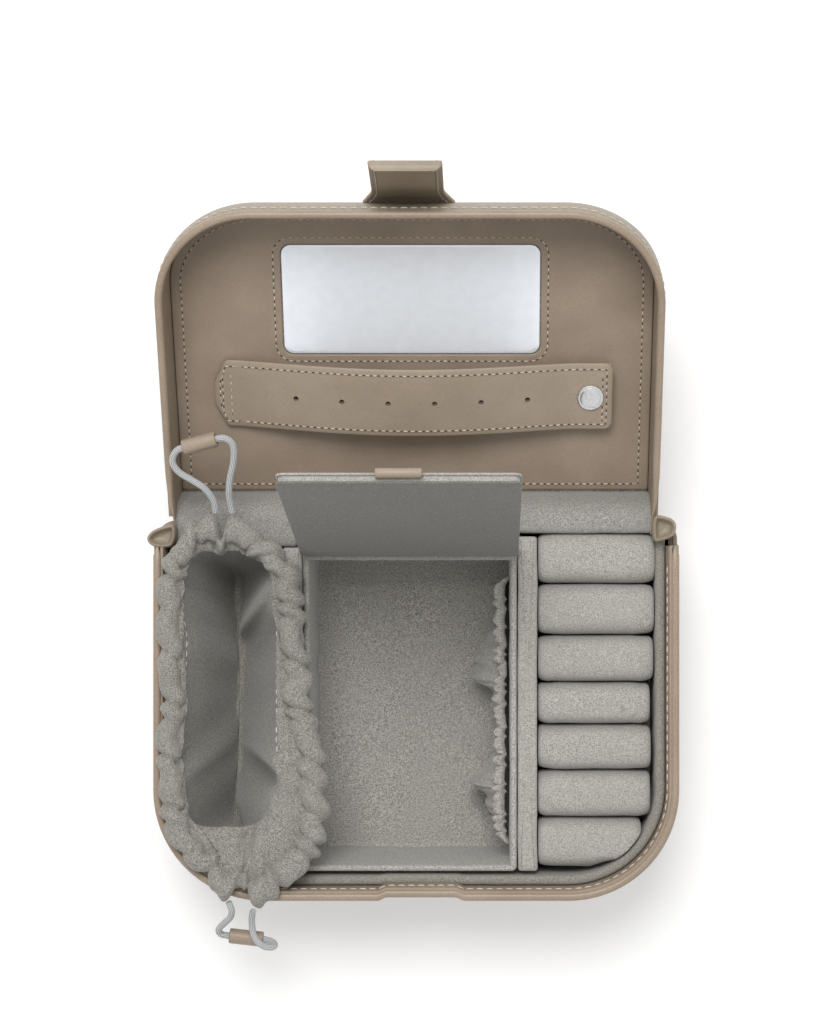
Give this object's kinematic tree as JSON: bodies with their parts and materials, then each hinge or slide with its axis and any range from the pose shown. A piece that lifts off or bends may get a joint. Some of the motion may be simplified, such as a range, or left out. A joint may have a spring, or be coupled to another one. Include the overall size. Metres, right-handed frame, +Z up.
{
  "type": "jewelry case",
  "caption": "Open leather travel jewelry case: folding lid with mirror and earring strap, base tray with drawstring pouch, lift-out box with flap and seven ring rolls.",
  "frame": {"origin": "centre of the flat underside of the base", "axes": "+X to the right of someone who faces the front, +Y to the hinge, +Z up"},
  "size_m": [0.1708, 0.2419, 0.1442],
  "materials": {
    "leather": "smooth taupe",
    "edge_paint": "painted edge, satin",
    "suede": "brushed microsuede",
    "weave": "fine weave",
    "board": "hidden stiffener",
    "mirror": "polished",
    "snap_metal": "satin plated",
    "magnet": "plain",
    "cord": "braided elastic"
  },
  "bodies": {
    "base": {"bottom_leather_panel": "leather", "base_leather_wall": "leather", "bottom_board": "board", "wall_board": "board", "front_magnet": "magnet", "base_rim_roll": "edge_paint", "base_lip_facing": "leather", "tray_floor": "suede", "tray_wall": "suede", "left_divider": "suede", "right_divider": "suede", "middle_box": "weave", "side_pocket": "weave", "side_pocket_elastic": "suede", "roll_bed_board": "board", "ring_roll_1": "suede", "ring_roll_2": "suede", "ring_roll_3": "suede", "ring_roll_4": "suede", "ring_roll_5": "suede", "ring_roll_6": "suede", "ring_roll_7": "suede", "pouch_bag": "suede", "pouch_collar": "suede", "flap_hinge_strip": "suede", "spine_leather": "leather", "spine_lining": "weave", "left_corner_gusset": "leather", "right_corner_gusset": "leather"},
    "lid": {"lid_top_leather": "leather", "lid_leather_wall": "leather", "lid_rim_roll": "edge_paint", "lid_board": "board", "lid_lining": "weave", "lid_inner_panel": "leather", "mirror_glass": "mirror", "snap_stud": "snap_metal", "strap_anchor": "leather", "tab_root": "leather"},
    "flap": {"flap_lining": "weave", "flap_board": "board", "flap_cover": "suede", "flap_pull_tab": "leather"},
    "tab": {"tab_leather": "leather", "tab_magnet": "magnet", "tab_lining": "leather"},
    "strap": {"earring_strap": "leather", "strap_backing": "suede", "strap_snap_cap": "snap_metal", "strap_snap_socket": "snap_metal"},
    "back_pull": {"back_drawcord": "cord"},
    "back_toggle": {"back_toggle": "leather"},
    "front_pull": {"front_drawcord": "cord"},
    "front_toggle": {"front_toggle": "leather"}
  },
  "joints": [
    {"name": "lid_hinge", "type": "hinge", "parent": "base", "child": "lid", "pos_m": [-0.001, 0.054, 0.049], "axis": [1, 0, 0], "range_deg": [0, 154.5], "deforming": ["pouch_collar", "spine_leather", "spine_lining", "left_corner_gusset", "right_corner_gusset"]},
    {"name": "flap_hinge", "type": "hinge", "parent": "base", "child": "flap", "pos_m": [-0.0022, 0.04845, 0.0487], "axis": [1, 0, 0], "range_deg": [0, 103.5]},
    {"name": "tab_bend", "type": "hinge", "parent": "lid", "child": "tab", "pos_m": [-0.0015, 0.16051, 0.09515], "axis": [1, 0, 0], "range_deg": [-25, 37], "stiffness_Nm_per_rad": 0.006},
    {"name": "strap_unsnap", "type": "hinge", "parent": "lid", "child": "strap", "pos_m": [-0.057, 0.10018, 0.05031], "axis": [0, 0.9026, 0.4305], "range_deg": [-28, 0]},
    {"name": "back_pull_fold", "type": "hinge", "parent": "base", "child": "back_pull", "pos_m": [-0.0603, 0.0583, 0.0565], "axis": [1, 0, 0], "range_deg": [0, 150]},
    {"name": "back_toggle_slide", "type": "slide", "parent": "back_pull", "child": "back_toggle", "axis": [0, -0.9026, -0.4305], "range_m": [-0.008, 0], "stiffness_N_per_m": 20, "deforming": ["back_drawcord"]},
    {"name": "front_pull_fold", "type": "hinge", "parent": "base", "child": "front_pull", "pos_m": [-0.055, -0.045, 0.058], "axis": [1, 0, 0], "range_deg": [-193, 0]},
    {"name": "front_toggle_slide", "type": "slide", "parent": "front_pull", "child": "front_toggle", "axis": [0, 0.8192, 0.5736], "range_m": [-0.008, 0], "stiffness_N_per_m": 20, "deforming": ["front_drawcord"]}
  ],
  "couplings": [
    {"joint": "flap_hinge", "follows": "lid_hinge", "ratio": 0.669},
    {"joint": "back_pull_fold", "follows": "lid_hinge", "ratio": 0.97},
    {"joint": "front_pull_fold", "follows": "lid_hinge", "ratio": -1.243}
  ]
}
